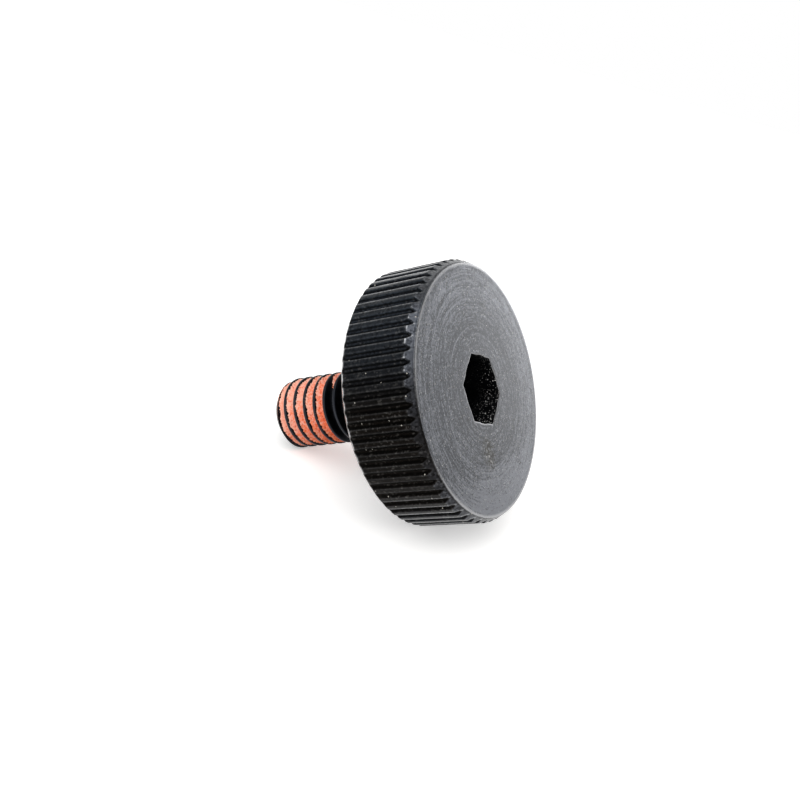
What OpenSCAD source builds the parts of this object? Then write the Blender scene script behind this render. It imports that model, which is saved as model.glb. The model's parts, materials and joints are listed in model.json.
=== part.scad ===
// Knurled thumb screw with a hexagon socket and a coat of thread-locking compound.
// It lies as it comes to rest, on the back edge of its head and on its tip.
// In each module the screw's axis is Z, with the tip at zero and the face at the top.

/* [Head] */
// Diameter over the crests of the knurl
head_d = 20; // [16:0.5:30]
// Height from the bearing face to the front face
head_h = 6.1; // [5:0.1:12]
// Radial width of the chamfer round the front face
front_chamfer_w = 0.36; // [0.25:0.01:1]
// Length of the front chamfer along the axis
front_chamfer_h = 0.66; // [0.3:0.02:1]
// Chamfer round the back of the head, alike both ways
back_chamfer = 0.4; // [0.3:0.05:0.8]

/* [Knurl] */
// Number of straight grooves round the rim
groove_count = 64; // [24:4:96]
// Depth of a groove
groove_depth = 0.22; // [0.1:0.01:0.26]
// Angle between the two walls of a groove
groove_angle = 105; // [60:5:110]

/* [Socket] */
// Size of the key, across the flats
socket_af = 5.1; // [4:0.1:6]
// Depth of the flats
socket_depth = 3.4; // [2:0.1:4]
// Diameter of the hole drilled before the flats are pressed in, a little over the key size
pilot_d = 5.25; // [3:0.05:6]
// Depth that the drill goes on below the flats
pilot_extra = 0.3; // [0.1:0.05:0.5]
// Angle of the drill's point
drill_angle = 120; // [110:2:160]
// Turn of the socket about the axis, from the side that the screw lies on to a corner
socket_turn = 12.5; // [0:0.5:60]

/* [Shank] */
// Outer diameter of the thread
thread_d = 5.9; // [4:0.1:8]
// Length below the head
shank_l = 12.1; // [9:0.1:30]
// Chamfer on the tip, alike both ways
tip_chamfer = 0.6; // [0.2:0.05:1]
// Diameter of the plain neck between the thread and the head
neck_d = 5.35; // [3:0.05:5.8]
// Length of the neck
neck_l = 1.2; // [0.8:0.1:2]
// Radius of the fillet under the head
head_fillet_r = 0.35; // [0.1:0.05:0.5]

/* [Locking coat] */
// Length of thread that is coated, from the tip's chamfer
coat_l = 5; // [2:0.25:6]
// Thickness of the coat, which fills the thread up to its outer diameter
coat_t = 0.1; // [0.05:0.01:0.14]

/* [Hidden] */
$fn = 128;
// How far a cut runs past the surface it opens
overrun = 0.5;
head_r = head_d / 2;
face_r = head_r - front_chamfer_w;
thread_r = thread_d / 2;
tip_r = thread_r - tip_chamfer;
neck_r = neck_d / 2;
core_r = thread_r - coat_t;
pilot_r = pilot_d / 2;
// Heights along the axis, from the tip
bearing_z = shank_l;
face_z = shank_l + head_h;
back_edge_z = bearing_z + back_chamfer;
neck_z = bearing_z - neck_l;
thread_end_z = neck_z - (thread_r - neck_r);
coat_end_z = tip_chamfer + coat_l;
socket_z = face_z - socket_depth;
pilot_z = socket_z - pilot_extra;
drill_point_h = pilot_r / tan(drill_angle / 2);
// A groove is centred on the side that the screw lies on, so the rim rests on that groove's two edges
groove_half_w = groove_depth * tan(groove_angle / 2);
rest_r = sqrt(pow(head_r, 2) - pow(groove_half_w, 2));
// The screw lies with its axis up at this angle, on its back edge and on the start of its thread
lie_angle = atan((rest_r - thread_r) / (back_edge_z - tip_chamfer));
// Reach of the tip and of the face along the ground, and the height of the tip's centre
tip_reach = max(tip_r * sin(lie_angle), thread_r * sin(lie_angle) - tip_chamfer * cos(lie_angle));
face_reach = max(face_z * cos(lie_angle) + face_r * sin(lie_angle),
                 (face_z - front_chamfer_h) * cos(lie_angle) + rest_r * sin(lie_angle));
tip_height = thread_r * cos(lie_angle) - tip_chamfer * sin(lie_angle);

// Lays the screw down, with the middle of its length over the origin
module lie_down() {
    translate([(tip_reach - face_reach) / 2, 0, tip_height])
        rotate([0, 90 - lie_angle, 0])
            children();
}

// Turned form of the head, with both chamfers
module head_blank() {
    rotate_extrude()
        polygon([[0, bearing_z],
                 [head_r - back_chamfer, bearing_z],
                 [head_r, back_edge_z],
                 [head_r, face_z - front_chamfer_h],
                 [face_r, face_z],
                 [0, face_z]]);
}

// Section of the rim across the axis, with a V groove at every step of the knurl
module knurl_section() {
    difference() {
        circle(r = head_r + overrun);
        for (i = [0 : groove_count - 1])
            rotate(i * 360 / groove_count)
                polygon([[head_r - groove_depth, 0],
                         [head_r + 2 * overrun, (groove_depth + 2 * overrun) * tan(groove_angle / 2)],
                         [head_r + 2 * overrun, -(groove_depth + 2 * overrun) * tan(groove_angle / 2)]]);
    }
}

// Hexagon with the drilled hole under it and the drill's point
module socket() {
    translate([0, 0, socket_z])
        rotate(socket_turn)
            cylinder(r = socket_af / 2 / cos(30), h = socket_depth + overrun, $fn = 6);
    translate([0, 0, pilot_z])
        cylinder(r = pilot_r, h = face_z - pilot_z + overrun);
    translate([0, 0, pilot_z - drill_point_h])
        cylinder(r1 = 0, r2 = pilot_r, h = drill_point_h);
}

// Shank with its tip, the seat of the coat, the neck and the fillet up to the bearing face
module shank() {
    rotate_extrude()
        difference() {
            polygon([[0, 0],
                     [tip_r, 0],
                     [thread_r, tip_chamfer],
                     [core_r, tip_chamfer],
                     [core_r, coat_end_z],
                     [thread_r, coat_end_z],
                     [thread_r, thread_end_z],
                     [neck_r, neck_z],
                     [neck_r, bearing_z - head_fillet_r],
                     [neck_r + head_fillet_r, bearing_z - head_fillet_r],
                     [neck_r + head_fillet_r, bearing_z],
                     [0, bearing_z]]);
            translate([neck_r + head_fillet_r, bearing_z - head_fillet_r])
                circle(r = head_fillet_r);
        }
}

module screw() {
    color([0.13, 0.13, 0.14])
        lie_down()
            union() {
                difference() {
                    intersection() {
                        head_blank();
                        translate([0, 0, bearing_z - overrun])
                            linear_extrude(head_h + 2 * overrun)
                                knurl_section();
                    }
                    socket();
                }
                shank();
            }
}

// Ring of dried compound, flush with the crests of the thread
module locking_coat() {
    color([0.93, 0.45, 0.27])
        lie_down()
            translate([0, 0, tip_chamfer])
                difference() {
                    cylinder(r = thread_r, h = coat_l);
                    translate([0, 0, -overrun])
                        cylinder(r = core_r, h = coat_l + 2 * overrun);
                }
}

screw();
locking_coat();
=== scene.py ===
import json

import bmesh
import bpy
import numpy as np
from mathutils import Matrix, Vector


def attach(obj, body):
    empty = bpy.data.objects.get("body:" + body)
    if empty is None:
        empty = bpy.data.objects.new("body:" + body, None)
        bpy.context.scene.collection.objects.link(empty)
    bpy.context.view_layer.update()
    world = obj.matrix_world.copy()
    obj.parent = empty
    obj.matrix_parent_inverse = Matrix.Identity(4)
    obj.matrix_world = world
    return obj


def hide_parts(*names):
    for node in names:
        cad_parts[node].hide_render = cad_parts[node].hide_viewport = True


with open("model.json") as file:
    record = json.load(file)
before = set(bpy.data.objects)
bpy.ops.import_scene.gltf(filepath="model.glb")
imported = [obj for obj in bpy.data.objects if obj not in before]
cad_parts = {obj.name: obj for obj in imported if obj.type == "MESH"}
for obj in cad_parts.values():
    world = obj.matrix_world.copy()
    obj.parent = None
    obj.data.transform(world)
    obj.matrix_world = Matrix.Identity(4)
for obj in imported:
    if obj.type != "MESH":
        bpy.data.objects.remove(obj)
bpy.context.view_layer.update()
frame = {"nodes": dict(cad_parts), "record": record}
mm = 0.001
fullTurn = 2 * np.pi
sixth = fullTurn / 6
weldGap = 1e-7  # metres within which points of a mesh become one
print("frame loaded:", ", ".join(frame["nodes"]))

# the screw's own axis in the part's frame: heights run in mm from the tip to the face,
# and angle zero is the side that the screw lies on
faceHeight = 18.2
rimRadius = 10.0
socketMount = {m["name"]: m for m in frame["record"]["mounts"]}["key_socket"]
axisDir = np.array(socketMount["axis"]) / np.linalg.norm(socketMount["axis"])
downDir = np.array([axisDir[2], 0.0, -axisDir[0]])
sideDir = np.array([0.0, 1.0, 0.0])
tipCentre = np.array(socketMount["pos_m"]) - axisDir * faceHeight * mm


# a point given by angle, radius and height in mm goes to the lying screw in metres:
# tip centre + cosine and sine of the angle times radius on the two cross directions + height on the axis
def layDown(angle, radius, height):
    angle, radius, height = np.broadcast_arrays(angle, radius, height)
    across = (radius * np.cos(angle))[..., None] * downDir + (radius * np.sin(angle))[..., None] * sideDir
    return tipCentre + mm * (across + height[..., None] * axisDir)


# 0 at low, 1 at high, straight between them and level beyond
def ramp(value, low, high):
    return np.clip((value - low) / (high - low), 0, 1)


# 1 at the middle, falling off alike on both sides
def bell(value, middle, spread):
    return np.exp(-(((value - middle) / spread) ** 2))


# smaller of two arrays with a soft bend of about this width where they cross
def softMin(a, b, width):
    return (a + b - np.sqrt((a - b) ** 2 + width**2)) / 2


# angles of a whole sector from those of its half, which run from its middle to its end
def mirrored(half):
    return np.concatenate([-half[-2:0:-1], half])


# profile with soft corners: each inner corner becomes a parabola that begins and ends one cut away from it
def softCorners(points, cuts, steps=4):
    p, cuts = np.array(points, float), np.array(cuts)[:, None]
    before, corner, after = p[:-2], p[1:-1], p[2:]
    start = corner + (before - corner) / np.linalg.norm(before - corner, axis=1)[:, None] * cuts
    end = corner + (after - corner) / np.linalg.norm(after - corner, axis=1)[:, None] * cuts
    t = np.linspace(0, 1, steps)[:, None]
    curve = (1 - t) ** 2 * start[:, None] + 2 * t * (1 - t) * corner[:, None] + t**2 * end[:, None]
    return np.vstack([p[:1], curve.reshape(-1, 2), p[-1:]])


# random field from -1 to 1: seeded values on a lattice of cells, blended smoothly from corner to corner
def grain(points, cell, seed):
    size = 48
    table = np.random.default_rng(seed).uniform(-1, 1, (size, size, size))
    scaled = points / np.array(cell)
    low = np.floor(scaled).astype(int)
    f = scaled - low
    f = f * f * (3 - 2 * f)
    total = 0
    for corner in np.ndindex(2, 2, 2):
        weight = np.prod(np.where(corner, f, 1 - f), axis=-1)
        total = total + weight * table[tuple(((low + corner) % size)[..., k] for k in range(3))]
    return total


# quads between neighbouring rows of a grid; closed rows run on into their own start
def gridFaces(rows, across, first=0, closed=True):
    i, j = np.meshgrid(np.arange(rows - 1), np.arange(across if closed else across - 1), indexing="ij")
    k = (j + 1) % across
    quads = np.stack([i * across + j, i * across + k, (i + 1) * across + k, (i + 1) * across + j], -1)
    return quads.reshape(-1, 4) + first


# triangles between two rings that have different angles: going round from the outer ring's first point,
# each angle met on either ring adds one triangle
def zipFaces(outerAngles, innerAngles, outerFirst, innerFirst):
    n, m = len(outerAngles), len(innerAngles)
    fromStart = [outerAngles - outerAngles[0], (innerAngles - outerAngles[0]) % fullTurn]
    onOuter = np.argsort(np.concatenate(fromStart), kind="stable") < n
    i, j = np.cumsum(onOuter) - 1, np.cumsum(~onOuter) - 1
    outerTris = np.stack([(i - 1) % n + outerFirst, i % n + outerFirst, j % m + innerFirst], -1)
    innerTris = np.stack([i % n + outerFirst, j % m + innerFirst, (j - 1) % m + innerFirst], -1)
    return np.where(onOuter[:, None], outerTris, innerTris)


# one closed mesh from points, lists of faces and the material of each list
def makePiece(name, points, faceLists, finishes, sharpAngle, attributes=None):
    mesh = bpy.data.meshes.new(name)
    mesh.from_pydata(points, [], [f for faces, _ in faceLists for f in faces.tolist()])
    index = np.concatenate([np.full(len(faces), slot) for faces, slot in faceLists])
    mesh.polygons.foreach_set("material_index", index.astype(np.int32))
    for key, values in (attributes or {}).items():
        mesh.attributes.new(key, "FLOAT", "POINT").data.foreach_set("value", values.astype(np.float32))
    bm = bmesh.new()
    bm.from_mesh(mesh)
    bmesh.ops.remove_doubles(bm, verts=bm.verts, dist=weldGap)
    bmesh.ops.recalc_face_normals(bm, faces=bm.faces)
    bm.to_mesh(mesh)
    bm.free()
    mesh.polygons.foreach_set("use_smooth", np.ones(len(mesh.polygons), bool))
    mesh.set_sharp_from_angle(angle=np.radians(sharpAngle))
    for finish in finishes:
        mesh.materials.append(finish)
    piece = bpy.data.objects.new(name, mesh)
    bpy.context.scene.collection.objects.link(piece)
    return piece


# triangles that a piece has when its faces are split
def triangleCount(piece):
    return len(piece.data.loops) - 2 * len(piece.data.polygons)


# a number that comes out of a shader node: sums on it add Math nodes
class Val:
    def __init__(self, shades, socket):
        self.shades, self.socket = shades, socket

    def __add__(self, other):
        return self.shades.maths("ADD", self, other)

    __radd__ = __add__

    def __sub__(self, other):
        return self.shades.maths("SUBTRACT", self, other)

    def __rsub__(self, other):
        return self.shades.maths("SUBTRACT", other, self)

    def __mul__(self, other):
        return self.shades.maths("MULTIPLY", self, other)

    __rmul__ = __mul__

    def outlet(self, name):
        return Val(self.shades, self.socket.node.outputs[name])


# the nodes of a material or of the world
class Shades:
    def __init__(self, owner):
        owner.use_nodes = True
        self.owner, self.tree = owner, owner.node_tree
        self.tree.nodes.clear()

    # a node of this type, its settings first and then its sockets; gives the outlet asked for
    def node(self, kind, settings=None, sockets=None, outlet=0):
        made = self.tree.nodes.new("ShaderNode" + kind)
        for key, value in (settings or {}).items():
            setattr(made, key, value)
        for key, value in (sockets or {}).items():
            if isinstance(value, Val):
                self.tree.links.new(value.socket, made.inputs[key])
            else:
                made.inputs[key].default_value = value
        return Val(self, made.outputs[outlet]) if made.outputs else None

    def maths(self, operation, *values):
        return self.node("Math", {"operation": operation}, dict(enumerate(values)))

    # sum of patterns, each times its own weight
    def weighted(self, patterns, weights):
        return sum(patterns[key] * weight for key, weight in weights.items())

    # 0 below low, 1 above high, smooth between
    def step(self, value, low, high):
        sockets = {"Value": value, "From Min": low, "From Max": high}
        return self.node("MapRange", {"interpolation_type": "SMOOTHSTEP"}, sockets)

    # colour b over colour a; a Mix node keeps its colours in sockets 6 and 7 and its result in outlet 2
    def mix(self, share, a, b):
        return self.node("Mix", {"data_type": "RGBA"}, {0: share, 6: a, 7: b}, 2)

    # the screw's own coordinates in mm, with the axis along Z
    def ownPlace(self):
        sockets = {
            "Vector": self.node("TexCoord", outlet="Object"),
            "Location": tuple(tipCentre),
            "Rotation": (0, np.arctan2(axisDir[0], axisDir[2]), 0),
            "Scale": (mm, mm, mm),
        }
        return self.node("Mapping", {"vector_type": "TEXTURE"}, sockets)

    def parts(self, vector):
        split = self.node("SeparateXYZ", sockets={0: vector})
        return [split.outlet(k) for k in range(3)]

    def vector(self, x, y, z):
        return self.node("CombineXYZ", sockets={0: x, 1: y, 2: z})

    def noise(self, place, scale, detail=2.0, rough=0.5):
        sockets = {"Vector": place, "Scale": scale, "Detail": detail, "Roughness": rough}
        return self.node("TexNoise", sockets=sockets)

    def attribute(self, name):
        return self.node("Attribute", {"attribute_name": name}, outlet="Fac")

    # a random pattern of cells, in space or flat
    def cells(self, place, scale, flat):
        dimensions = {"voronoi_dimensions": "2D" if flat else "3D"}
        return self.node("TexVoronoi", dimensions, {"Vector": place, "Scale": scale})

    # crystals: small cells, each with its own random value from -0.5 to 0.5
    def crystals(self, place, scale, flat=False):
        return self.parts(self.cells(place, scale, flat).outlet("Color"))[1] - 0.5

    # specks: round dots with a soft edge in some of the cells, 1 on a speck
    def specks(self, place, scale, share, size, flat=False):
        cells = self.cells(place, scale, flat)
        chance = self.parts(cells.outlet("Color"))[0]
        dot = 1 - self.step(cells.outlet("Distance"), 0.6 * size, size)
        return dot * self.maths("GREATER_THAN", chance, 1 - share)

    # relief of this strength and depth in mm
    def bump(self, height, strength, depth):
        sockets = {"Height": height, "Strength": strength, "Distance": depth * mm}
        return self.node("Bump", sockets=sockets)

    def surface(self, sockets):
        shader = self.node("BsdfPrincipled", sockets=sockets)
        self.node("OutputMaterial", sockets={"Surface": shader})
        return self.owner


# Steel finishes: scales count cells to the mm, specks are a scale, the share of cells with one and its size,
# bumps are a strength and a depth in mm

faceLook = {
    "steel": (0.031, 0.0333, 0.0386, 1),
    "pale": (0.126, 0.132, 0.148, 1),
    "bright": (0.50, 0.50, 0.51, 1),
    "dust": (0.40, 0.39, 0.37, 1),
    "pit": (0.014, 0.013, 0.011, 1),
    "stain": (0.064, 0.062, 0.056, 1),
    "rings": {"scale": 6.0, "drift": 0.12, "shift": 3, "detail": 4.0, "rough": 0.65},
    "streaks": {"scale": 5.5, "drift": 0.9, "shift": 0, "detail": 3.0, "rough": 0.6},
    "arcScale": (10, 9.6),  # along the radius, and to a radian round it
    "crystalScale": 10.0,
    "patchScale": 0.45,
    "dustSpecks": (4.0, 0.010, 0.22),
    "fineSpecks": (6.5, 0.09, 0.32),
    "pitSpecks": (6.0, 0.05, 0.4),
    "baseTone": 0.06,
    # paler towards the rim; paler towards the low side as a painted floor reflection; darker towards -y as
    # painted shade
    "paler": {"rim": (4.5, 8.5, 0.38), "floorReflectionSide": (4.5, 9.0, 0.75), "shadedSide": (3.0, 9.0, -0.14)},
    "tone": {"rings": 2.3, "streaks": 1.2, "arcs": 0.5, "crystals": 0.9, "patches": 0.15},
    "relief": {"rings": 0.6, "streaks": 0.6, "arcs": 0.5, "crystals": 0.7, "dust": 1.0},
    "bump": (0.5, 0.007),
    "spot": (4.75, -0.95),  # centre of the stained spot, in mm towards the low side and across
    "spotSize": (0.1, 1.2),  # full within the first radius, gone beyond the second
    "spotStretch": 0.45,
    "spotScale": 6.2,
    "spotDust": (0.43, 0.46),
    "spotPits": (0.02, 0.08),
    "shares": {"stain": 0.45, "dust": 0.7, "fineDust": 0.42, "spotDust": 0.6},
    "dustDulls": 0.8,
    "rough": (0.30, 0.2),  # even, and with the streaks
}


# turned face: the tool's rings, which change slowly from place to place, over a fine grain,
# with a little dust and a stained, pitted spot below the socket; its low side is made paler as a painted
# floor reflection and its -y side darker as painted shade
def turnedFace():
    s = Shades(bpy.data.materials.new("turned face"))
    place = s.ownPlace()
    x, y, _ = s.parts(place)
    radius = s.maths("SQRT", x * x + y * y)
    shares = faceLook["shares"]
    evenRough, streakRough = faceLook["rough"]

    # noise that changes fast along the radius and slowly over the face
    def ringNoise(kind):
        way = s.vector(radius * kind["scale"], x * kind["drift"] + kind["shift"], y * kind["drift"])
        return s.noise(way, 1.0, kind["detail"], kind["rough"]) - 0.5

    alongArc, roundArc = faceLook["arcScale"]
    arcPlace = s.vector(radius * alongArc, s.maths("ARCTAN2", y, x) * roundArc, 0)
    dust = s.specks(place, *faceLook["dustSpecks"], flat=True)
    fineDust = s.specks(place, *faceLook["fineSpecks"], flat=True)
    streaks = ringNoise(faceLook["streaks"])
    marks = {
        "rings": ringNoise(faceLook["rings"]),
        "streaks": streaks,
        "arcs": s.crystals(arcPlace, 1.0, True),
        "crystals": s.crystals(place, faceLook["crystalScale"], True),
        "patches": s.noise(place, faceLook["patchScale"]) - 0.5,
        "dust": dust,
    }
    # the ways: the radius, the low side for the painted floor reflection, -y for the painted shade
    ways = {"rim": radius, "floorReflectionSide": x, "shadedSide": 0 - y}
    tone = faceLook["baseTone"] + s.weighted(marks, faceLook["tone"])
    for key, (low, high, gain) in faceLook["paler"].items():
        tone = tone + s.step(ways[key], low, high) * gain

    spotX, spotY = x - faceLook["spot"][0], y - faceLook["spot"][1]
    reach = s.maths("SQRT", spotX * spotX * faceLook["spotStretch"] + spotY * spotY)
    spot = 1 - s.step(reach, *faceLook["spotSize"])
    spotGrain = s.crystals(place, faceLook["spotScale"], True)
    spotDust = s.step(spotGrain, *faceLook["spotDust"]) * spot * shares["spotDust"]
    spotPits = s.step(0 - spotGrain, *faceLook["spotPits"]) * s.step(spot, 0.0, 0.5)
    pits = s.maths("MAXIMUM", s.specks(place, *faceLook["pitSpecks"], flat=True), spotPits)

    colour = s.mix(tone, faceLook["steel"], faceLook["pale"])
    colour = s.mix(spot * shares["stain"], colour, faceLook["stain"])
    colour = s.mix(pits, colour, faceLook["pit"])
    colour = s.mix(fineDust * shares["fineDust"], colour, faceLook["dust"])
    colour = s.mix(s.maths("MAXIMUM", dust, spotDust) * shares["dust"], colour, faceLook["dust"])
    # bright edges of the face and the socket's mouth: partly worn steel, partly painted highlight
    colour = s.mix(s.attribute("wear"), colour, faceLook["bright"])
    return s.surface(
        {
            "Base Color": colour,
            "Metallic": 1 - dust * faceLook["dustDulls"],
            "Roughness": evenRough + streaks * streakRough,
            "Normal": s.bump(s.weighted(marks, faceLook["relief"]), *faceLook["bump"]),
        }
    )


rimLook = {
    # painted shade: the groove walls are given a blacker colour than the lands
    "deep": (0.0016, 0.0015, 0.0014, 1),
    "warm": (0.0046, 0.0036, 0.0029, 1),
    # painted reflection: the blue sheen of sky and floor on the black
    "paintedBlueSheen": (0.0225, 0.0280, 0.0360, 1),
    "fleck": (0.090, 0.086, 0.080, 1),
    "turned": (0.067, 0.071, 0.082, 1),
    # bare steel: real worn edges and painted highlights
    "wornAndHighlit": (0.62, 0.63, 0.65, 1),
    "dust": (0.55, 0.52, 0.46, 1),
    "sheenAbove": (0.4, 7.6),  # mm above the axis between which the black turns from brown to blue
    "sheenBelow": (6.5, 9.0, 0.45),  # mm below it, and how far it turns there
    "drawnScale": (9, 0.35),  # marks of the knurling, round the rim and along it
    "drawnShare": 0.5,
    "mottleScale": 7.0,
    "flecks": (0.28, 0.6),
    "dustSpecks": (2.6, 0.022, 0.13),
    "shares": {"flecks": 0.4, "dust": 0.8},
    "grainOf": {"land": (0.95, 1.1), "turned": (0.5, 0.7), "wear": (1.0, 0.8)},  # even share, grain on it
    "rough": 0.60,
    "smoother": {"land": -0.18, "turned": -0.15, "wear": -0.9},
    "leastRough": 0.25,
    "relief": {"drawn": 0.4, "mottle": 0.4},
    "bump": (0.5, 0.014),
}


# knurled rim and chamfers: black walls in the grooves, blacker as painted shade, a fine grain on the lands
# and along each groove's foot, a paler turned chamfer, a painted blue sheen of sky and floor, and edges worn
# to bare steel in places, partly painted highlights
def knurledRim():
    s = Shades(bpy.data.materials.new("knurled rim"))
    place = s.ownPlace()
    x, y, z = s.parts(place)
    around = s.maths("ARCTAN2", y, x) * rimRadius
    roundDrawn, alongDrawn = rimLook["drawnScale"]
    drawn = s.noise(s.vector(around * roundDrawn, z * alongDrawn, 0), 1.0, 3.0, 0.6) - 0.5
    mottle = s.crystals(place, rimLook["mottleScale"]) + drawn * rimLook["drawnShare"]
    dust = s.specks(s.vector(around, z, 0), *rimLook["dustSpecks"], flat=True)
    masks = {key: s.attribute(key) for key in rimLook["grainOf"]}
    grained = {key: masks[key] * (even + mottle * rough) for key, (even, rough) in rimLook["grainOf"].items()}
    low, high, part = rimLook["sheenBelow"]
    # painted reflection: the black turns blue above the axis, as a sky sheen, and partly near the bottom, as
    # a floor sheen
    paintedBlueSheen = s.step(0 - x, *rimLook["sheenAbove"]) + s.step(x, low, high) * part
    flecks = s.step(mottle, *rimLook["flecks"]) * rimLook["shares"]["flecks"]
    colour = s.mix(flecks, s.mix(paintedBlueSheen, rimLook["warm"], rimLook["paintedBlueSheen"]), rimLook["fleck"])
    # painted shade: the groove walls blacker than the lands
    colour = s.mix(grained["land"], rimLook["deep"], colour)
    colour = s.mix(grained["turned"], colour, rimLook["turned"])
    # bare steel where worn, and painted highlights on the top side, the groove edges and the face edge
    colour = s.mix(grained["wear"], colour, rimLook["wornAndHighlit"])
    colour = s.mix(dust * rimLook["shares"]["dust"], colour, rimLook["dust"])
    rough = rimLook["rough"] + s.weighted(masks, rimLook["smoother"])
    relief = s.weighted({"drawn": drawn, "mottle": mottle}, rimLook["relief"])
    return s.surface(
        {
            "Base Color": colour,
            "Metallic": 1 - dust,
            "Roughness": s.maths("MAXIMUM", rough, rimLook["leastRough"]),
            "Normal": s.bump(relief, *rimLook["bump"]),
        }
    )


socketLook = {
    "black": (0.0010, 0.0012, 0.0016, 1),
    "grit": (0.95, 0.94, 0.92, 1),
    "gritFrom": (17.0, 19.2),  # heights between which the grit sets in, on the socket's axis
    "gritSlant": 0.35,
    "patchScale": 1.5,
    "patchReach": 1.2,
    "fineGrit": (9.0, 0.45, 0.42),
    "coarseGrit": (6.0, 0.16, 0.34),
    "fineShare": 0.3,
    "deepShare": 0.03,
    "grainScale": 7.0,
    "bump": (0.6, 0.05),
    "rough": 0.55,
    "shine": 0.03,
}


# socket: broached walls, black, with specks that are partly loose grit and partly painted glints, most of
# them near the mouth
def broachedSocket():
    s = Shades(bpy.data.materials.new("broached socket"))
    place = s.ownPlace()
    x, _, z = s.parts(place)
    patch = s.noise(place, socketLook["patchScale"]) * socketLook["patchReach"]
    # painted glints: the grit specks are denser near the mouth and towards the low side
    nearMouthLit = s.step(z + x * socketLook["gritSlant"] + patch, *socketLook["gritFrom"])
    fine = s.specks(place, *socketLook["fineGrit"])
    coarse = s.specks(place, *socketLook["coarseGrit"])
    glint = s.maths("MAXIMUM", fine * socketLook["fineShare"], coarse) * (socketLook["deepShare"] + nearMouthLit)
    return s.surface(
        {
            "Base Color": s.mix(glint, socketLook["black"], socketLook["grit"]),
            "Roughness": socketLook["rough"],
            "Specular IOR Level": socketLook["shine"],
            "Normal": s.bump(s.noise(place, socketLook["grainScale"], 3.0) + coarse, *socketLook["bump"]),
        }
    )


threadLook = {
    "black": (0.005, 0.005, 0.006, 1),
    "blue": (0.016, 0.018, 0.023, 1),
    "sheen": (0.34, 0.37, 0.44, 1),
    "blotchScale": 2.5,
    "grainScale": 10.0,
    "bump": (0.25, 0.02),
    "rough": (0.24, 0.2),  # even, and with the blotches
}


# bare thread: smoother black than the rim, with a painted blue sheen on its crests
def bareThread():
    s = Shades(bpy.data.materials.new("bare thread"))
    place = s.ownPlace()
    blotch = s.noise(place, threadLook["blotchScale"], 4.0)
    colour = s.mix(blotch, threadLook["black"], threadLook["blue"])
    evenRough, blotchRough = threadLook["rough"]
    return s.surface(
        {
            "Base Color": s.mix(s.attribute("wear"), colour, threadLook["sheen"]),
            "Metallic": 1.0,
            "Roughness": evenRough + blotchRough * blotch,
            "Normal": s.bump(s.noise(place, threadLook["grainScale"], 3.0), *threadLook["bump"]),
        }
    )


finishes = [turnedFace(), knurledRim(), broachedSocket(), bareThread()]
faceSlot, rimSlot, socketSlot, threadSlot = range(len(finishes))
print("steel finishes made:", len(finishes))

# Screw, in mm and degrees


# rows of points that make up one mesh, with what the finishes read at each point
class Rows:
    def __init__(self):
        self.points, self.faceLists = [], []
        self.values = {"wear": [], "turned": [], "land": []}

    # adds a grid of points; gives the number of its first point, of its rows and of the points in a row
    def add(self, angle, radius, height, **values):
        first = sum(map(len, self.points))
        grid = layDown(angle, radius, height)
        self.points.append(grid.reshape(-1, 3))
        for key, kept in self.values.items():
            kept.append(np.broadcast_to(values.get(key, 0.0), grid.shape[:2]).ravel())
        return first, grid.shape[0], grid.shape[1]

    def cover(self, faces, slot):
        self.faceLists.append((faces, slot))


socketSize = {
    "flats": 5.1,
    "depth": 3.4,
    "pilot": 5.25,
    "pilotExtra": 0.3,
    "drill": 120,
    "turn": 12.5,
    "mouthCut": 0.045,
    "mouthOut": (3, 1, 0.3, 0),  # rings of the mouth's bevel: cuts outside the wall, below the face, wear
    "mouthDown": (0, 0, 0.3, 1),
    # the mouth's bright edge is partly worn steel and partly painted highlight
    "mouthWear": (0.0, 0.2, 0.5, 0.3),
    "flatRows": 6,
    "coneRings": (0.7, 0.4, 0.15, 0.0),  # shares of the drilled hole's radius
    "cornerSteps": (6, 8),  # angles from a flat's middle to where the hole meets it, and on to the corner
}


# radius of the socket: the hexagon's flat at each angle, or the drilled hole where that is wider
def socketRadius(angle):
    fromFlat = (angle - np.radians(socketSize["turn"])) % sixth - sixth / 2
    return np.maximum(socketSize["flats"] / 2 / np.cos(fromFlat), socketSize["pilot"] / 2)


# socket, from a ring on the face over the mouth's small bevel, the flats and the drilled hole to the drill's
# point; gives its first point and its angles, which gather where flats and hole meet
def addSocket(rows):
    crossing = np.arccos(socketSize["flats"] / socketSize["pilot"])
    inHole, onFlat = socketSize["cornerSteps"]
    half = np.concatenate([np.linspace(0, crossing, inHole), np.linspace(crossing, sixth / 2, onFlat)[1:]])
    sectors = np.arange(6)[:, None] * sixth + mirrored(half) + sixth / 2
    angles = np.sort((sectors.ravel() + np.radians(socketSize["turn"])) % fullTurn)
    wall = socketRadius(angles)
    pilot = np.full_like(wall, socketSize["pilot"] / 2)
    flatsEnd = faceHeight - socketSize["depth"]
    pilotEnd = flatsEnd - socketSize["pilotExtra"]
    point = pilotEnd - socketSize["pilot"] / 2 / np.tan(np.radians(socketSize["drill"] / 2))
    cut = socketSize["mouthCut"]
    outside, below = cut * np.array(socketSize["mouthOut"]), cut * np.array(socketSize["mouthDown"])
    flats = np.linspace(faceHeight - cut, flatsEnd, socketSize["flatRows"])[1:]
    cone = np.array(socketSize["coneRings"])
    levels = [faceHeight - below, flats, [flatsEnd, pilotEnd], point + (pilotEnd - point) * cone]
    heights = np.concatenate(levels)[:, None]
    radii = np.vstack([wall + outside[:, None], [wall] * len(flats), [pilot, pilot], cone[:, None] * pilot])
    wornAndHighlit = np.zeros_like(heights)
    wornAndHighlit[: len(outside), 0] = socketSize["mouthWear"]
    first, count, around = rows.add(angles, radii, heights, wear=wornAndHighlit)
    quads = gridFaces(count, around, first)
    bevel = (len(outside) - 1) * around
    rows.cover(quads[:bevel], faceSlot)
    rows.cover(quads[bevel:], socketSlot)
    return first, angles


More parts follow.
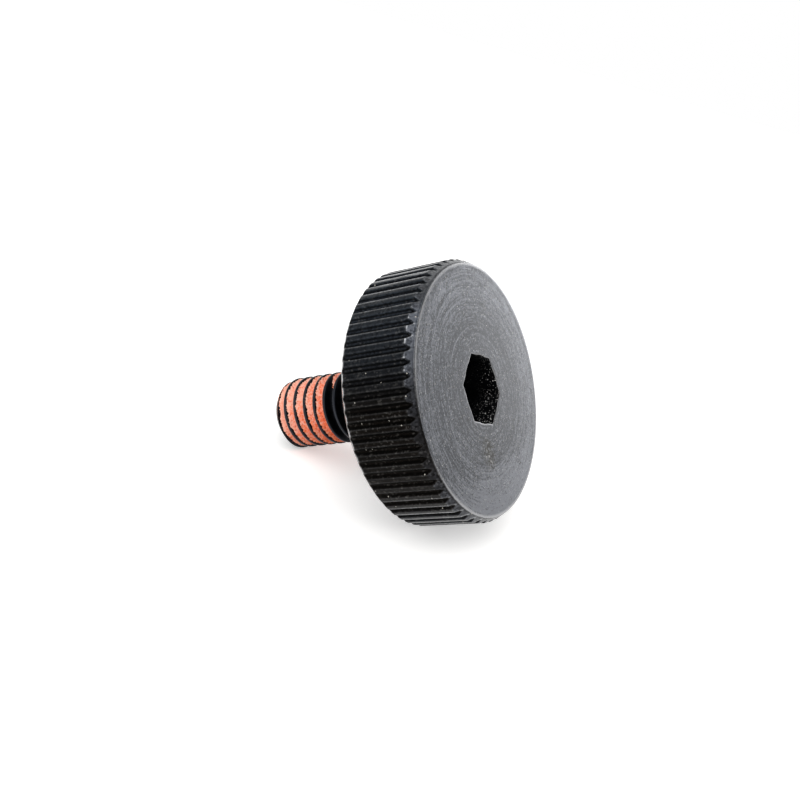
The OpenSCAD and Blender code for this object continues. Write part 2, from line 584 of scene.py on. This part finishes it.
headSize = {
    "faceRadius": 9.64,
    "frontChamfer": 0.66,
    "backChamfer": 0.4,
    "bearingHeight": 12.1,
    "edgeCuts": (0.09, 0.05, 0.05, 0.05),  # face edge, front of the rim, back of the rim, bearing edge
    "chamferRows": (14, 8),  # points on the front and the back chamfer
    "rimRows": (0.02, 0.06, 0.2, 0.4, 0.6, 0.8, 0.94, 0.98),  # shares of the rim's length
    "flatRings": (3, 4),  # first and last ring, in cuts inside the edge of the face and the bearing edge
    "rimFrom": 0.1,  # mm outside the face over which burrs and wear set in
    "sharpAngle": 35,
}
knurl = {
    "grooves": 64,
    "depth": 0.22,
    "angle": 105,
    "footSoft": 0.13,
    "edgeSoft": 0.012,
    "grooveSteps": (0, 0.2, 0.4, 0.62, 0.84, 0.95, 1.0, 1.05, 1.14),  # shares of a groove's half width
    "landSteps": (0.45, 1.0),
    "wobble": 0.003,
    "burr": 0.015,
    "burrWidth": 0.022,
    "lip": 0.02,
    "lipWidth": 0.075,
}
# random fields on the rim: cell round it and along it in mm, and seed
rimGrain = {
    "wobble": ((0.25, 0.4, 1), 3),
    "burr": ((0.11, 0.14, 1), 4),
    "rubs": ((0.13, 0.22, 1), 5),
    "lip": ((0.15, 0.2, 1), 6),
}
halfTooth = np.pi / knurl["grooves"]
grooveHalf = knurl["depth"] * np.tan(np.radians(knurl["angle"] / 2))
frontEnd = faceHeight - headSize["frontChamfer"]  # the lands run between these two heights
backEnd = headSize["bearingHeight"] + headSize["backChamfer"]


# angles of the knurl's points: in half a tooth they gather at the groove's foot and edge, then it is mirrored
def knurlAngles():
    inGroove = np.array(knurl["grooveSteps"]) * np.arcsin(grooveHalf / rimRadius)
    land = inGroove[-1] + (halfTooth - inGroove[-1]) * np.array(knurl["landSteps"])
    tooth = mirrored(np.concatenate([inGroove, land]))
    return (np.arange(knurl["grooves"])[:, None] * 2 * halfTooth + tooth).ravel()


# radius of the rim: the turned profile, cut by grooves that are hyperbolas in the cross section, with a round
# foot and the depth and width of the solid's V; also gives how far the profile stands above the groove's wall
def knurledRadius(angle, profile):
    off = np.abs((angle + halfTooth) % (2 * halfTooth) - halfTooth)
    depth, soft = knurl["depth"], knurl["footSoft"]
    rise = (np.hypot(off * rimRadius, soft) - soft) / (np.hypot(grooveHalf, soft) - soft)
    wall = rimRadius - depth + depth * rise
    return softMin(profile, wall, knurl["edgeSoft"]), profile - wall


# radius and height of the head's turned profile, from the edge of the face to the bearing face,
# with more points on the chamfers and near the ends of the lands
def rimProfile():
    cuts, back = headSize["edgeCuts"], headSize["bearingHeight"]
    backRadius = rimRadius - headSize["backChamfer"]
    frontRing, backRing = headSize["flatRings"]
    corners = [
        (headSize["faceRadius"] - frontRing * cuts[0], faceHeight),
        (headSize["faceRadius"], faceHeight),
        (rimRadius, frontEnd),
        (rimRadius, backEnd),
        (backRadius, back),
        (backRadius - backRing * cuts[3], back),
    ]
    profile = softCorners(corners, cuts)
    length = np.concatenate([[0], np.cumsum(np.linalg.norm(np.diff(profile, axis=0), axis=1))])
    front = np.linspace(length[4], length[5], headSize["chamferRows"][0])
    lands = length[8] + (length[9] - length[8]) * np.array(headSize["rimRows"])
    rear = np.linspace(length[12], length[13], headSize["chamferRows"][1])
    along = np.unique(np.concatenate([length, front, lands, rear]))
    return np.interp(along, length, profile[:, 0]), np.interp(along, length, profile[:, 1])


# wear of the rim, with painted highlights and painted shade: sides are degrees round the axis, as middle and
# spread, or as where it begins and is full; lengths are mm; shares are the least that is worn off, and what
# the random rubs add
rimWear = {
    "rubbing": (2.2, 0.6),  # gain of the rubs and what is taken off them
    "landFade": (0.12, 0.04),
    "highFade": (0.02, -0.02),
    "footWidth": 0.05,
    # painted highlight: round this side, the top of the head, the lands, chamfer, groove edges and face edge
    # are made brighter
    "topHighlightSide": (191, 19),
    # painted shade: round these sides the bright edges and the paler chamfer are taken away
    "rimShadeSide": (278, 22),
    "rimShadeShare": 0.95,
    "chamferShadeSide": (284, 20),
    "chamferShadeShare": 0.8,
    "chamferFrom": (-0.02, 0.04),  # from the front end of the lands
    # painted highlight: which groove edge carries the bright strip, and how wide it is, changes with the side
    # of the head
    "firstEdgeSide": (303, 333),
    "secondEdgeSide": (248, 208),
    "secondEdgeFull": 175,
    "secondEdgeLeast": 0.4,
    "stripWidth": 0.07,
    "stripTopHighlight": 0.10,
    "stripLowSide": (300, 325),
    "stripLow": 0.05,
    "stripInGroove": 0.02,
    "stripFade": 0.1,
    "stripOnChamfer": 0.5,
    "stripRest": 0.03,
    "edgeWearAndHighlight": (0.78, 0.2),
    "ends": (0.06, 0.55),
    # painted shade: past this angle the bright front ends are mostly taken away
    "endsShadeFrom": 290,
    "endsShade": 0.7,
    "chamfer": (0.46, 0.3),
    "topHighlight": (0.06, 0.4),
    "rearAt": (-0.06, 0.07),  # from the back end of the lands, and its spread
    "rearFrom": -0.02,
    "rearRest": 0.22,
    "rear": 0.78,
    # painted highlight along the edge of the face, wider on the top side
    "faceEdgeWidth": (0.03, 0.02),
    "faceEdgeReach": 0.1,
    "faceEdgeHighlight": 0.5,
}


# shares of bare steel, partly painted highlight, and of turned chamfer over the rim, less painted shade on
# one side; high is 1 on the lands, ends at their front ends
def wearRim(angles, profileR, profileZ, over, onRim, high, ends, rubs):
    w = rimWear
    turn = np.degrees(angles) % 360
    # painted highlight: the top of the head made brighter, as extra wear
    topHighlight = bell(turn, *w["topHighlightSide"])
    # painted shade: the bright ends and face edge are taken away round 278 degrees
    outsideRimShade = 1 - w["rimShadeShare"] * bell(turn, *w["rimShadeSide"])

    # share that is worn off: the least, and more where it is rubbed
    def rubbed(key):
        least, more = w[key]
        return least + more * rubs

    chamferFrom, chamferFull = w["chamferFrom"]
    turned = ramp(profileZ, frontEnd + chamferFrom, frontEnd + chamferFull) * high
    # painted shade: the turned chamfer's paler colour is taken away round 284 degrees
    turned = turned * (1 - w["chamferShadeShare"] * bell(turn, *w["chamferShadeSide"]))

    # strips along the edges of each groove, the first edge on one side of the head, the second on the other;
    # they are partly edge wear and partly painted highlight, as which edge is bright, and how wide, follows
    # the side of the head
    first = (angles + halfTooth) % (2 * halfTooth) < halfTooth
    least = w["secondEdgeLeast"] + (1 - w["secondEdgeLeast"]) * (turn > w["secondEdgeFull"])
    side = np.where(first, ramp(turn, *w["firstEdgeSide"]), ramp(turn, *w["secondEdgeSide"]) * least)
    wide = w["stripWidth"] + w["stripTopHighlight"] * topHighlight + w["stripLow"] * ramp(turn, *w["stripLowSide"])
    edgeWearAndHighlight = bell(over, 0, np.where(over < 0, wide, w["stripInGroove"])) * onRim
    edgeWearAndHighlight = edgeWearAndHighlight * (1 - w["stripOnChamfer"] * ramp(profileZ, frontEnd, frontEnd + w["stripFade"]))

    rearAt, rearWidth = w["rearAt"]
    rear = bell(profileZ, backEnd + rearAt, rearWidth) + w["rearRest"] * (profileZ < backEnd + w["rearFrom"])
    # painted highlight: a bright line along the face's edge
    edgeWidth, edgeMore = w["faceEdgeWidth"]
    faceEdgeHighlight = bell(profileZ, faceHeight, edgeWidth + edgeMore * topHighlight)
    faceEdgeHighlight = faceEdgeHighlight * (profileR > headSize["faceRadius"] - w["faceEdgeReach"])
    kinds = [
        edgeWearAndHighlight * (w["stripRest"] + rubbed("edgeWearAndHighlight") * side),
        ends * rubbed("ends") * outsideRimShade * (1 - w["endsShade"] * (turn > w["endsShadeFrom"])),
        turned * rubbed("chamfer") * topHighlight,
        high * rubbed("topHighlight") * topHighlight,
        np.clip(rear, 0, 1) * high * w["rear"],
        faceEdgeHighlight * outsideRimShade * w["faceEdgeHighlight"],
    ]
    return np.maximum.reduce(kinds), turned


# rim with its chamfers, knurl, burrs and wear; gives the first point of its first and of its last ring,
# and its angles
def addRim(rows):
    angles = knurlAngles()
    profileR, profileZ = (part[:, None] for part in rimProfile())
    radius, over = knurledRadius(angles, profileR)
    onRim = ramp(profileR, headSize["faceRadius"], headSize["faceRadius"] + headSize["rimFrom"])
    unrolled = np.stack(np.broadcast_arrays((angles - angles[0]) * rimRadius, profileZ, 0.0), -1)
    wobble, burr, rubs, lip = (grain(unrolled, *rimGrain[key]) for key in ("wobble", "burr", "rubs", "lip"))
    high = ramp(over, *rimWear["highFade"]) * onRim
    ends = bell(profileZ, frontEnd, knurl["lipWidth"]) * high
    radius = radius + knurl["wobble"] * wobble * onRim
    radius = radius + knurl["burr"] * burr * bell(over, 0, knurl["burrWidth"]) * onRim
    radius = radius + knurl["lip"] * ends * (0.5 + 0.5 * lip)
    gain, less = rimWear["rubbing"]
    rubs = np.clip(rubs * gain - less, 0, 1)
    wornAndHighlit, turned = wearRim(angles, profileR, profileZ, over, onRim, high, ends, rubs)
    foot = bell(over, knurl["depth"], rimWear["footWidth"])
    land = np.maximum(ramp(over, *rimWear["landFade"]), foot)
    first, count, around = rows.add(angles, radius, profileZ, wear=wornAndHighlit, turned=turned, land=land)
    quads = gridFaces(count, around, first)
    onFace = 2 * around
    rows.cover(quads[:onFace], faceSlot)
    rows.cover(quads[onFace:], rimSlot)
    return first, first + (count - 1) * around, angles


threadSize = {
    "radius": 2.95,
    "root": 2.387,
    "pitch": 1.0,
    "flankAngle": 30,
    "crestShare": 0.18,
    "crestSoft": 0.03,
    "rootSoft": 0.05,
    "phase": 0.69,
    "tipChamfer": 0.6,
    "neckRadius": 2.675,
    "neckHeight": 10.9,
    "fillet": 0.35,
    "filletSteps": 7,
    "bearingRing": 0.2,  # mm from the fillet to the first ring on the bearing face
    "runOut": 1.3,
    "around": 160,
    "crestRows": (-0.03, 0, 0.025),  # rows at the crest's edge, on the flank and at the root's edge
    "flankRows": (0.2, 0.3),
    "rootRows": (-0.03, 0.03),
    # painted highlight: a blue sheen on the crests
    "crestSheen": 0.06,
    "crestSheenDepth": 0.06,
    "tipRings": (1.0, 0.6, 0.2, 0.0),  # shares of the tip's radius
}


# radius of the thread at a share of the pitch from the crest's middle: crest, flanks of 60 degrees, root
def threadForm(share):
    off = np.abs((share + 0.5) % 1 - 0.5) - threadSize["crestShare"] / 2
    flank = threadSize["radius"] - off * threadSize["pitch"] / np.tan(np.radians(threadSize["flankAngle"]))
    low = -softMin(-flank, -threadSize["root"], threadSize["rootSoft"])
    return softMin(low, threadSize["radius"], threadSize["crestSoft"])


# radius of the shank: the thread, run out towards the neck, inside the turned outline of chamfer, thread and
# neck; also gives how far that outline stands above the thread
def shankRadius(angle, height):
    share = (height - threadSize["phase"]) / threadSize["pitch"] - angle / fullTurn
    fade = ramp(height, threadSize["neckHeight"] - threadSize["runOut"], threadSize["neckHeight"])
    floor = threadSize["root"] + (threadSize["neckRadius"] - threadSize["root"]) * fade**2
    outline = np.minimum(
        threadSize["radius"] - np.maximum(threadSize["tipChamfer"] - height, 0),
        threadSize["neckRadius"] + np.maximum(threadSize["neckHeight"] - height, 0),
    )
    form = np.maximum(threadForm(share), floor)
    return np.minimum(form, outline), outline - form


# thread: rows follow the helix, height = start of the row + pitch times the turn, from the tip to the neck;
# gives the angles of its points
def addThread(rows):
    angle = np.arange(threadSize["around"] + 1) / threadSize["around"] * fullTurn
    c, pitch, neck = threadSize["crestShare"] / 2, threadSize["pitch"], threadSize["neckHeight"]
    crestEdge, rootEdge = c + np.array(threadSize["crestRows"]), 0.5 - c + np.array(threadSize["rootRows"])
    flank = np.concatenate([crestEdge, threadSize["flankRows"], rootEdge])
    shares = np.concatenate([[0], flank, [0.5], 1 - flank[::-1]])
    turns = np.arange(-2, int(neck) + 1)
    starts = (turns[:, None] + shares).ravel() * pitch + threadSize["phase"]
    height = np.clip(starts[:, None] + angle / fullTurn * pitch, 0, neck)
    radius, _ = shankRadius(np.broadcast_to(angle, height.shape), height)
    crest = ramp(radius, threadSize["radius"] - threadSize["crestSheenDepth"], threadSize["radius"])
    first, count, across = rows.add(angle, radius, height, wear=crest * threadSize["crestSheen"])
    rows.cover(gridFaces(count, across, first, closed=False), threadSlot)
    return angle[:-1]


# neck and fillet up to the bearing face; gives the first point of its last ring
def addNeck(rows, angles):
    back, neckR, fillet = headSize["bearingHeight"], threadSize["neckRadius"], threadSize["fillet"]
    bend = np.linspace(0, np.pi / 2, threadSize["filletSteps"])
    last = neckR + fillet + threadSize["bearingRing"]
    radii = np.concatenate([[neckR], neckR + fillet * (1 - np.cos(bend)), [last]])
    heights = np.concatenate([[threadSize["neckHeight"]], back - fillet + fillet * np.sin(bend), [back]])
    first, count, around = rows.add(angles, radii[:, None], heights[:, None])
    rows.cover(gridFaces(count, around, first), threadSlot)
    return first + (count - 1) * around


# flat end of the tip
def addTip(rows, angles):
    rings = np.array(threadSize["tipRings"])[:, None]
    radii = (threadSize["radius"] - threadSize["tipChamfer"]) * rings
    first, count, around = rows.add(angles, radii, np.zeros_like(rings))
    rows.cover(gridFaces(count, around, first), threadSlot)


# the whole screw in one closed mesh: socket, rim, face, thread, neck, back and tip
def buildScrew():
    rows = Rows()
    mouth, mouthAngles = addSocket(rows)
    rimFirst, rimLast, rimAngles = addRim(rows)
    rows.cover(zipFaces(rimAngles, mouthAngles, rimFirst, mouth), faceSlot)
    shankAngles = addThread(rows)
    neckLast = addNeck(rows, shankAngles)
    rows.cover(zipFaces(rimAngles, shankAngles, rimLast, neckLast), faceSlot)
    addTip(rows, shankAngles)
    attributes = {key: np.concatenate(kept) for key, kept in rows.values.items()}
    points, sharp = np.concatenate(rows.points), headSize["sharpAngle"]
    return makePiece("screwBody", points, rows.faceLists, finishes, sharp, attributes)


screwBody = buildScrew()
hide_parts("screw")
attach(screwBody, "root")
print("screw:", triangleCount(screwBody), "triangles")

# Locking coat

coatLook = {
    "body": (0.98, 0.255, 0.110, 1),
    "pale": (1.0, 0.52, 0.39, 1),
    "grain": (1.0, 0.82, 0.72, 1),
    "deep": (0.60, 0.080, 0.030, 1),
    "patchScale": 1.1,
    "fineScale": 7.0,
    "grains": (7.5, 0.5, 0.44),
    "paleBase": 1.04,
    "paler": {"height": -0.16, "low": -0.14, "patches": 1.7, "fine": 0.9},
    "pitScale": 5.0,
    "pits": (0.58, 0.68),
    "pitMore": {"height": 0.012, "fine": -0.08},
    "shares": {"grains": 0.3, "pits": 0.7},
    "relief": {"fine": 1.0, "grains": 0.4},
    "bump": (0.8, 0.05),
    "rough": 0.75,
    "shine": 0.3,
}


# locking coat: matt grains of dried compound, paler towards the tip, with light grains and deep red pits
def grainyCoat():
    s = Shades(bpy.data.materials.new("grainy coat"))
    place = s.ownPlace()
    x, _, z = s.parts(place)
    patterns = {
        "height": z,
        "low": x,
        "patches": s.noise(place, coatLook["patchScale"], 3.0, 0.6) - 0.5,
        "fine": s.crystals(place, coatLook["fineScale"]),
        "grains": s.specks(place, *coatLook["grains"]),
    }
    pale = s.step(coatLook["paleBase"] + s.weighted(patterns, coatLook["paler"]), 0.0, 1.0)
    pitted = s.noise(place, coatLook["pitScale"], 3.0, 0.7) + s.weighted(patterns, coatLook["pitMore"])
    pits = s.step(pitted, *coatLook["pits"])
    colour = s.mix(pale, coatLook["body"], coatLook["pale"])
    colour = s.mix(patterns["grains"] * coatLook["shares"]["grains"], colour, coatLook["grain"])
    colour = s.mix(pits * coatLook["shares"]["pits"], colour, coatLook["deep"])
    return s.surface(
        {
            "Base Color": colour,
            "Roughness": coatLook["rough"],
            "Specular IOR Level": coatLook["shine"],
            "Normal": s.bump(s.weighted(patterns, coatLook["relief"]), *coatLook["bump"]),
        }
    )


# random fields are given as height or depth, cell in mm and seed
coatSize = {
    "from": -340,
    "to": 1676,
    "taper": 45,  # degrees over which the end runs to a point in the root
    "taperDepth": 0.95,
    "tipBare": 0.17,  # further share that is bare on the first turn
    "tipHeights": (0.98, 0.68),  # heights at which that begins and is full
    "thick": 0.045,
    "rootThick": 0.09,
    "rootShare": 0.2,
    "bareFlank": 0.165,  # share of each flank that is worn bare below the crest
    "edgeShare": 0.09,  # share of a flank over which the coat thins out
    "edgeRoom": 0.03,
    "strokes": ((0.09, (0.07, 0.30, 1), 11), (0.06, (0.17, 0.5, 1), 12)),
    "bites": (0.10, (0.9, 0.6, 1), 13),
    "grain": 0.014,
    "grains": ((1.0, 0.10, 14), (0.6, 0.05, 15)),
    "under": 0.12,  # depth of the closing strip in the steel
    "underShares": (0.58, 0.42),
    "pastCrest": 0.02,
    "lowest": 0.03,
    "stepsRound": 300,
    "across": 38,
    "slopeStep": 1e-3,  # mm along the axis, for the thread's slope
    "sharpAngle": 60,
}


# sum of random fields at these points
def grains(points, *fields):
    return sum(height * grain(points, cell, seed) for height, cell, seed in fields)


# coat in the thread's groove: the flanks and the root moved out by the coat's thickness, which falls below
# the steel at ragged edges near the crests, on the tip's chamfer and at the end; a strip inside the steel
# closes it
def buildCoat():
    steps = int((coatSize["to"] - coatSize["from"]) / 360 * coatSize["stepsRound"])
    turn = np.radians(np.linspace(coatSize["from"], coatSize["to"], steps))[:, None]
    c, phase, pitch = threadSize["crestShare"] / 2, threadSize["phase"], threadSize["pitch"]
    past = coatSize["pastCrest"]
    share = np.linspace(c - past, 1 - c + past, coatSize["across"])[None]
    angle, share = np.broadcast_arrays(turn, share)
    height = phase + pitch * (angle / fullTurn + share)
    radius, room = shankRadius(angle, height)
    e = coatSize["slopeStep"]
    slope = (shankRadius(angle, height + e)[0] - shankRadius(angle, height - e)[0]) / (2 * e)
    away = np.sqrt(1 + slope**2)

    # 1 well inside the coat, 0 on its ragged edge, -1 outside
    unrolled = np.stack([angle * threadSize["radius"], share, np.zeros_like(share)], -1)
    strokes = grains(unrolled, *coatSize["strokes"])
    bites = grains(unrolled, coatSize["bites"])
    depth = 1 - np.abs(share - 0.5) / (0.5 - c)
    ending = ramp(np.degrees(turn), coatSize["to"] - coatSize["taper"], coatSize["to"])
    bare = coatSize["bareFlank"] + coatSize["tipBare"] * ramp(height, *coatSize["tipHeights"])
    left = depth - bare - coatSize["taperDepth"] * ending + strokes + bites
    edgeRoom = coatSize["edgeRoom"]
    inside = np.clip(left / coatSize["edgeShare"], -1, 1)
    inside = np.minimum(inside, np.clip((room + edgeRoom * strokes) / edgeRoom, -1, 1))

    root = ramp(np.abs(share - 0.5), coatSize["rootShare"], 0) ** 2
    thick = coatSize["thick"] + (coatSize["rootThick"] - coatSize["thick"]) * root
    own = np.stack([radius * np.cos(angle), radius * np.sin(angle), height], -1)
    thick = thick + coatSize["grain"] * grains(own, *coatSize["grains"])
    thick = np.where(inside > 0, thick, coatSize["thick"]) * inside
    topR, topZ = radius + thick / away, height - thick * slope / away
    underShare = np.array([1 - c, *coatSize["underShares"], c])[None]
    underZ = phase + pitch * (turn / fullTurn + underShare)
    underR = shankRadius(np.broadcast_to(turn, underZ.shape), underZ)[0] - coatSize["under"]
    ringR, ringZ = np.concatenate([topR, underR], 1), np.concatenate([topZ, underZ], 1)
    points = layDown(turn, ringR, np.maximum(ringZ, coatSize["lowest"])).reshape(-1, 3)
    across = ringR.shape[1]
    firstRing = np.arange(across)[None]
    caps = np.concatenate([firstRing[:, ::-1], firstRing + (steps - 1) * across])
    faceLists = [(gridFaces(steps, across), 0), (caps, 0)]
    return makePiece("lockingCoat", points, faceLists, [grainyCoat()], coatSize["sharpAngle"])


lockingCoat = buildCoat()
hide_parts("locking_coat")
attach(lockingCoat, "root")
print("coat:", triangleCount(lockingCoat), "triangles")

# Floor, light and camera

stageLook = {
    "floorHalf": 3.0,
    "floorColour": (0.93, 0.92, 0.905, 1),
    "glow": (0.40, 0.40, 0.40, 1),
    "noGlow": (0, 0, 0, 1),
    "horizon": (1, 1, 1, 1),
    "zenith": (0.445, 0.445, 0.445, 1),
    "skyFade": (0.1, 0.5),
}


# 1 for what the camera sees, straight, mirrored or through
def seenRays(s):
    rays = s.node("LightPath")
    seen = [rays.outlet(k) for k in ("Is Camera Ray", "Is Glossy Ray", "Is Transmission Ray")]
    return s.maths("MAXIMUM", s.maths("MAXIMUM", seen[0], seen[1]), seen[2])


def paleFloor():
    s = Shades(bpy.data.materials.new("pale floor"))
    matt = s.node("BsdfDiffuse", sockets={"Color": stageLook["floorColour"]})
    glow = s.node("Emission", sockets={"Color": s.mix(seenRays(s), stageLook["noGlow"], stageLook["glow"])})
    s.node("OutputMaterial", sockets={"Surface": s.node("AddShader", sockets={0: matt, 1: glow})})
    return s.owner


half = stageLook["floorHalf"]
floorCorners = [(-half, -half, 0), (half, -half, 0), (half, half, 0), (-half, half, 0)]
floorMesh = bpy.data.meshes.new("floor")
floorMesh.from_pydata(floorCorners, [], [(0, 1, 2, 3)])
floorMesh.materials.append(paleFloor())
floor = bpy.data.objects.new("floor", floorMesh)
bpy.context.scene.collection.objects.link(floor)

sky = Shades(bpy.data.worlds.new("studio"))
bpy.context.scene.world = sky.owner
up = sky.parts(sky.node("TexCoord", outlet="Generated"))[2]
shade = sky.mix(sky.step(up, *stageLook["skyFade"]), stageLook["horizon"], stageLook["zenith"])
background = sky.node("Background", sockets={"Color": shade})
sky.node("OutputWorld", sockets={"Surface": background})

# lamps by the direction they shine from, their light on a face turned to them and their width in degrees
lamps = {
    "overhead": {"from": (0.13, -0.44, 0.89), "light": 0.67, "width": 68},
    "rear": {"from": (0.12, 0.99, 0.02), "light": 0.36, "width": 44},
}
for name, lamp in lamps.items():
    light = bpy.data.lights.new(name, "SUN")
    light.energy, light.angle = lamp["light"] * np.pi, np.radians(lamp["width"])
    holder = bpy.data.objects.new(name, light)
    holder.rotation_euler = Vector(lamp["from"]).to_track_quat("Z", "Y").to_euler()
    bpy.context.scene.collection.objects.link(holder)

cameraView = {
    "place": (0.0291768, -0.0623286, 0.0354709),
    "azimuth": 25.375,
    "elevation": 21.902,
    "roll": 15.908,
    "lens": 42.074,
    "sensor": 36.0,
    "clip": (0.005, 20.0),
}
lens = bpy.data.cameras.new("camera")
lens.lens, lens.sensor_width, lens.sensor_fit = cameraView["lens"], cameraView["sensor"], "AUTO"
lens.clip_start, lens.clip_end = cameraView["clip"]
camera = bpy.data.objects.new("camera", lens)
camera.matrix_world = (
    Matrix.Translation(cameraView["place"])
    @ Matrix.Rotation(np.radians(cameraView["azimuth"]), 4, "Z")
    @ Matrix.Rotation(np.radians(90 - cameraView["elevation"]), 4, "X")
    @ Matrix.Rotation(np.radians(cameraView["roll"]), 4, "Z")
)
bpy.context.scene.collection.objects.link(camera)
bpy.context.scene.camera = camera
bpy.context.scene.view_settings.view_transform = "Standard"
print("stage, lights and camera set")
